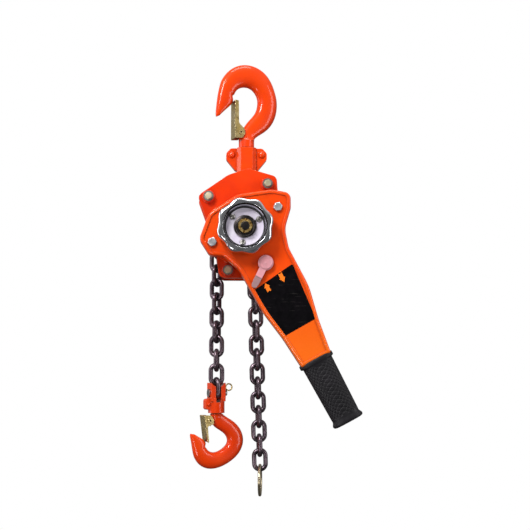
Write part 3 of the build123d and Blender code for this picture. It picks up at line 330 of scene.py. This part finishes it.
# The lighter orange painted as a highlight along the paint's edges
EDGE_HIGHLIGHT = rgba(248, 122, 66)
MATERIALS = {
    "forged_paint": paint("forged_paint", ORANGE, DEEP, EDGE_HIGHLIGHT, texture=0.75, wear=0.7),
    "plate_paint": paint("plate_paint", rgba(224, 60, 5), rgba(206, 46, 3), EDGE_HIGHLIGHT, texture=0.30, wear=0.6),
    # The lever's low colour is painted light: its lower part lighter and warmer
    "lever_paint": paint("lever_paint", rgba(234, 72, 5), rgba(228, 64, 4), EDGE_HIGHLIGHT, texture=0.30, wear=0.35,
                         low=rgba(240, 104, 20)),
    "zinc_yellow": plated("zinc_yellow", rgba(208, 178, 104), rgba(228, 206, 150)),
    "zinc_white": plated("zinc_white", rgba(222, 222, 228), rgba(240, 240, 244), (0.30, 0.42), shade_strength=0.5),
    "blackened_steel": plated("blackened_steel", rgba(46, 42, 42), rgba(66, 62, 62), (0.30, 0.45),
                              shade_colour=(14, 12, 12)),
    "machined_steel": plated("machined_steel", rgba(164, 160, 158), rgba(188, 186, 186), (0.22, 0.36)),
    "chain_steel": chain_steel(),
    "friction_lining": lining(),
    "sheave_iron": cast("sheave_iron", rgba(78, 76, 78), rgba(104, 100, 100)),
    "gear_steel": plated("gear_steel", rgba(112, 108, 106), rgba(140, 136, 134), (0.28, 0.44),
                         shade_colour=(30, 24, 18)),
    "wheel_chrome": chrome(),
    "disc_enamel": disc_enamel(),
    # Silver casting with a pink base colour: a painted reflection of the orange paint around it
    "selector_casting": cast("selector_casting", rgba(244, 164, 172), rgba(222, 156, 164), grit=0.45,
                             metallic=0.2, rough=(0.36, 0.5), handled=(*SELECTOR, 0.0195)),
    "grip_rubber": rubber(),
    "bearing_bronze": plated("bearing_bronze", rgba(186, 140, 76), rgba(160, 118, 60), (0.3, 0.45)),
    "spring_steel": plated("spring_steel", rgba(128, 126, 130), rgba(158, 156, 160), (0.2, 0.32)),
}


def stay_nut():
    """Bright nut faces, with painted shade in a band towards their flats and a painted highlight on their
    edges. Past 6.6 mm from the bolt's axis, on washers and nut corners, body paint.
    """
    s = Shader("stay_nut")
    near = s.from_axis(*STAYS[0])
    for x, z in STAYS[1:]:
        near = s.math("MINIMUM", near, s.from_axis(x, z))
    painted = s.span(near, 0.0063, 0.0066)
    edge_shade_ring = s.span(near, 0.0050, 0.0064)
    body = s.blend(s.span(s.noise(160.0), 0.35, 0.65), rgba(170, 164, 156), rgba(208, 204, 198))
    # Painted shade: the face darkens towards the nut's flats
    body = s.blend(s.math("MULTIPLY", edge_shade_ring, 0.8), body, rgba(66, 56, 46))
    # Painted highlight: edges lightened towards white
    body = s.blend(s.math("MULTIPLY", s.edges(0.0005), 0.4), body, rgba(238, 236, 226))
    body = s.blend(painted, body, rgba(214, 52, 5))
    return s.finish(color=body, metallic=s.span(painted, 0.0, 1.0, 1.0, 0.0), roughness=0.34,
                    normal=s.bump(s.noise(400.0, 4.0), 0.2, 0.0001, s.round_edges(0.0005)))


def nut_on_hub():
    """The castle nut: gilt only on the crown of its segments, black inside and outside that band."""
    s = Shader("nut_on_hub")
    out = s.from_axis(*HUB)
    crown = s.math("MULTIPLY", s.span(out, 0.0052, 0.0058), s.span(out, 0.0088, 0.0082))
    drift = s.span(s.noise(260.0, 3.0), 0.35, 0.65)
    gilt = s.blend(drift, rgba(206, 158, 84), rgba(238, 208, 138))
    dark_tone = s.blend(drift, rgba(34, 28, 24), rgba(54, 44, 34))
    body = s.blend(crown, dark_tone, gilt)
    normal = s.bump(s.noise(420.0, 4.0), 0.25, 0.0001, s.round_edges(0.0005))
    return s.finish(color=body, metallic=1.0, roughness=s.span(drift, 0.0, 1.0, 0.24, 0.36), normal=normal)


# Nodes that look different from the rest of their material slot
SPECIAL = {
    "castle_nut": nut_on_hub(),
    "stay_nuts": stay_nut(),
    "end_ring": plated("end_ring", rgba(202, 190, 162), rgba(176, 160, 128), (0.22, 0.32)),
    "stay_bolts": plated("stay_bolt_ends", rgba(236, 222, 176), rgba(246, 236, 206), (0.32, 0.42), shade_strength=0.3),
    "drive_shaft": MATERIALS["blackened_steel"],
    "disc_screws": plated("disc_screws", rgba(150, 146, 140), rgba(182, 178, 172), shade_colour=(24, 20, 18),
                          shade_strength=1.0),
}
for part in frame["record"]["subparts"]:
    node = frame["nodes"][part["node"]]
    node.data.materials.clear()
    node.data.materials.append(SPECIAL.get(part["node"], MATERIALS[part["material_slot"]]))


# ---- pieces -----------------------------------------------------------------------------------
def add_piece(name, points, faces, material, body, smooth=False):
    mesh = bpy.data.meshes.new(name)
    mesh.from_pydata(points, [], faces)
    mesh.validate()
    piece = bpy.data.objects.new(name, mesh)
    bpy.context.collection.objects.link(piece)
    piece.data.materials.append(material)
    for face in mesh.polygons:
        face.use_smooth = smooth
    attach(piece, body)
    return piece


def lever_point(u, y, v):
    """Lever coordinates in mm, u along the lever and v to its right, as a point of the frame in metres."""
    c, s = math.cos(LEVER_ANGLE), math.sin(LEVER_ANGLE)
    return ((AXIS[0] + u * c - v * s) * MM, y * MM, (AXIS[1] + u * s + v * c) * MM)


def rounded_outline(corners, radius, steps=6):
    """A closed outline with its corners rounded by arcs."""
    points = []
    for k, corner in enumerate(corners):
        corner = Vector(corner)
        before = (Vector(corners[k - 1]) - corner).normalized()
        after = (Vector(corners[(k + 1) % len(corners)]) - corner).normalized()
        half = before.angle(after) / 2
        centre = corner + (before + after).normalized() * radius / math.sin(half)
        start = corner + before * radius / math.tan(half) - centre
        end = corner + after * radius / math.tan(half) - centre
        sweep = start.angle_signed(end)
        for step in range(steps + 1):
            angle = -sweep * step / steps
            c, s = math.cos(angle), math.sin(angle)
            points.append((centre[0] + start[0] * c - start[1] * s, centre[1] + start[0] * s + start[1] * c))
    return points


def plate_piece(name, outline, y_low, y_high, material, body):
    """A flat piece in lever coordinates, with its faces at two depths."""
    count = len(outline)
    points = [lever_point(u, y_high, v) for u, v in outline] + [lever_point(u, y_low, v) for u, v in outline]
    faces = [tuple(range(count)), tuple(reversed(range(count, 2 * count)))]
    faces += [(k, k + count, (k + 1) % count + count, (k + 1) % count) for k in range(count)]
    return add_piece(name, points, faces, material, body)


LABEL = [(66.5, 31.2), (73.4, -25.4), (140.4, -20.4), (139.2, 24.6)]
label_film = film("label_film", (3, 2, 4), (9, 6, 10))
print_orange = film("print_orange", (250, 124, 30), (244, 112, 26), (0.25, 0.35))
LABEL_BACK, LABEL_FRONT = LABEL_Y - 0.02, LABEL_Y - 0.18
PRINT_BACK, PRINT_FRONT = LABEL_Y - 0.17, LABEL_Y - 0.24
plate_piece("label", rounded_outline(LABEL, 2.0), LABEL_BACK, LABEL_FRONT, label_film, "lever")


def arrow(name, u, v, length, way):
    """A block arrow on the label, pointing along the lever (way 1) or back (way -1)."""
    tail, shoulder, head = 2.5, 0.4, 3.9
    half = length / 2
    outline = [(-half, -tail), (shoulder, -tail), (shoulder, -head), (half, 0), (shoulder, head),
               (shoulder, tail), (-half, tail), (-half + 1.2, 0)]
    outline = [(u + way * a, v + way * b) for a, b in outline]
    plate_piece(name, outline, PRINT_BACK, PRINT_FRONT, print_orange, "lever")


arrow("arrow_down", 75.5, 11.8, 12.4, 1)
arrow("arrow_up", 77.8, -9.9, 11.4, -1)
MARK = [(67.6, 12.2), (67.6, 14.0), (68.9, 14.0), (68.9, 12.2)]
plate_piece("label_mark", MARK, PRINT_BACK, PRINT_FRONT, print_orange, "lever")


# The grip's figures are in lever coordinates, mm; scales and shares have no unit.
GRIP_Y, GRIP_V = -55.0, 1.5             # its centre line
COLLAR_END, FLARE_FROM = 188, 262
COLLAR_HALF_WIDTH, BODY_HALF_WIDTH, TAPER, FLARE = 22.4, 20.7, 2.0, 1.4
HALF_THICKNESS, THICKNESS_TAPER = 11.9, 0.6
ROUNDNESS = 2 / 2.9                     # power of the flat oval's sine and cosine
DIAMOND_LENGTH, DIAMONDS_AROUND = 5.6, 20
GROOVE_SHARE, GROOVE_DEPTH, GROOVE_FADE = 0.28, 0.052, 1.5
ROWS_ALONG, POINTS_AROUND = 300, 216


def grip():
    """The moulded grip: a flat-oval sleeve with a collar, a diamond knurl and a flared end."""
    profile = [(182.0, 0.80), (182.0, 0.97), (182.6, 1.0), (186.6, 1.0), (187.4, 0.985), (188.4, 0.95)]
    knurl_from, knurl_to = 190.0, 259.0
    rows = [(u, k, 0.0) for u, k in profile]
    for step in range(ROWS_ALONG + 1):
        u = knurl_from + (knurl_to - knurl_from) * step / ROWS_ALONG
        rows.append((u, 0.95, 1.0))
    rows += [(260.0, 0.94, 0.0), (262.0, 0.955, 0.0), (264.0, 0.985, 0.0), (266.0, 1.0, 0.0),
             (267.6, 0.985, 0.0), (268.6, 0.94, 0.0), (269.0, 0.86, 0.0), (269.0, 0.45, 0.0)]
    around = POINTS_AROUND
    points = []
    for u, scale, knurled in rows:
        along = (u - 187.0) / 82.0
        flare = FLARE * min(1, (u - FLARE_FROM) / 4) if u > FLARE_FROM else 0.0
        in_collar = u < COLLAR_END
        half_width = COLLAR_HALF_WIDTH if in_collar else BODY_HALF_WIDTH - TAPER * along + flare
        half_thick = HALF_THICKNESS - (0.0 if in_collar else THICKNESS_TAPER * along)
        for k in range(around):
            angle = 2 * math.pi * k / around
            c, s = math.cos(angle), math.sin(angle)
            v = half_width * scale * math.copysign(abs(c) ** ROUNDNESS, c)
            y = half_thick * scale * math.copysign(abs(s) ** ROUNDNESS, s)
            turn = DIAMONDS_AROUND * k / around
            wave = (u - knurl_from) / DIAMOND_LENGTH
            one = abs(((wave + turn) % 1) - 0.5) * 2
            two = abs(((wave - turn) % 1) - 0.5) * 2
            groove = max(0.0, 1 - min(one, two) / GROOVE_SHARE)
            fade = 0.0
            if knurled:
                fade = min(1.0, (u - knurl_from) / GROOVE_FADE, (knurl_to - u) / GROOVE_FADE)
            sink = 1 - GROOVE_DEPTH * groove * max(0.0, fade)
            points.append(lever_point(u, GRIP_Y + y * sink, GRIP_V + v * sink))
    faces = []
    for r in range(len(rows) - 1):
        for k in range(around):
            a, b = r * around + k, r * around + (k + 1) % around
            faces.append((a, b, b + around, a + around))
    last = (len(rows) - 1) * around
    faces.append(tuple(range(last + around - 1, last - 1, -1)))
    piece = add_piece("grip_sleeve", points, faces, MATERIALS["grip_rubber"], "lever",
                      smooth=True)
    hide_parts("lever_grip")


grip()


# ---- light ------------------------------------------------------------------------------------
world = bpy.data.worlds.new("studio")
bpy.context.scene.world = world
world.use_nodes = True
sky = world.node_tree
for item in list(sky.nodes):
    sky.nodes.remove(item)


def sky_node(kind, **settings):
    made = sky.nodes.new(kind)
    for key, value in settings.items():
        setattr(made, key, value)
    return made


def sky_ramp(source, stops):
    made = sky_node("ShaderNodeValToRGB")
    sky.links.new(source, made.inputs["Fac"])
    ramp = made.color_ramp
    while len(ramp.elements) < len(stops):
        ramp.elements.new(0.5)
    for element, (at, level) in zip(ramp.elements, stops):
        element.position = at
        element.color = (level, level, level, 1)
    return made.outputs["Color"]


direction = sky_node("ShaderNodeTexCoord").outputs["Generated"]
split = sky_node("ShaderNodeSeparateXYZ")
sky.links.new(direction, split.inputs[0])


def up_to_one(socket):
    made = sky_node("ShaderNodeMapRange")
    sky.links.new(socket, made.inputs["Value"])
    made.inputs["From Min"].default_value = -1.0
    return made.outputs["Result"]


height = sky_ramp(up_to_one(split.outputs["Z"]),
                  [(0.0, 0.20), (0.40, 0.34), (0.55, 0.62), (0.78, 1.0), (1.0, 0.8)])
depth = sky_ramp(up_to_one(split.outputs["Y"]),
                 [(0.0, 0.34), (0.06, 0.36), (0.22, 0.85), (0.6, 0.8), (1.0, 0.7)])
product = sky_node("ShaderNodeMix", data_type="RGBA", blend_type="MULTIPLY")
product.inputs[0].default_value = 1.0
sky.links.new(height, product.inputs[6])
sky.links.new(depth, product.inputs[7])
room = sky_node("ShaderNodeBackground")
sky.links.new(product.outputs[2], room.inputs["Color"])
room.inputs["Strength"].default_value = 0.55
# The camera sees plain white; everything else is lit by the room.
white = sky_node("ShaderNodeBackground")
white.inputs["Color"].default_value = (1, 1, 1, 1)
seen = sky_node("ShaderNodeLightPath")
choose = sky_node("ShaderNodeMixShader")
sky.links.new(seen.outputs["Is Camera Ray"], choose.inputs[0])
sky.links.new(room.outputs[0], choose.inputs[1])
sky.links.new(white.outputs[0], choose.inputs[2])
sky.links.new(choose.outputs[0], sky_node("ShaderNodeOutputWorld").inputs[0])


def area_light(name, place, target, size, power):
    """A rectangle of light that faces its target; metres and watts."""
    data = bpy.data.lights.new(name, "AREA")
    data.shape = "RECTANGLE"
    data.size, data.size_y = size
    data.energy = power
    lamp = bpy.data.objects.new(name, data)
    bpy.context.collection.objects.link(lamp)
    lamp.location = place
    lamp.rotation_euler = (Vector(target) - Vector(place)).to_track_quat("-Z", "Y").to_euler()


area_light("key", (-0.60, -1.10, 0.60), CENTRE, (0.45, 0.45), 19.0)
area_light("fill", (1.1, -0.8, -0.1), CENTRE, (0.35, 1.1), 6.0)
area_light("top", (0.1, -0.35, 0.9), (0, 0, -0.15), (0.7, 0.4), 6.0)
area_light("side", (-1.0, 0.1, -0.2), CENTRE, (0.4, 1.0), 4.0)
area_light("low", (-0.45, -1.1, -0.75), (-0.03, 0, -0.45), (0.4, 0.3), 3.5)

# ---- camera -----------------------------------------------------------------------------------
camera_data = bpy.data.cameras.new("camera")
camera_data.lens = 74.5
camera_data.sensor_width = 36.0
camera_data.clip_start = 0.05
camera = bpy.data.objects.new("camera", camera_data)
bpy.context.collection.objects.link(camera)
camera.location = (-0.050, -1.400, -0.372)
YAW, PITCH = math.radians(3.03), math.radians(5.69)
look = Vector((math.sin(YAW) * math.cos(PITCH), math.cos(YAW) * math.cos(PITCH), math.sin(PITCH)))
camera.rotation_euler = look.to_track_quat("-Z", "Y").to_euler()
bpy.context.scene.camera = camera
bpy.context.scene.view_settings.view_transform = "Standard"
bpy.context.scene.view_settings.look = "None"
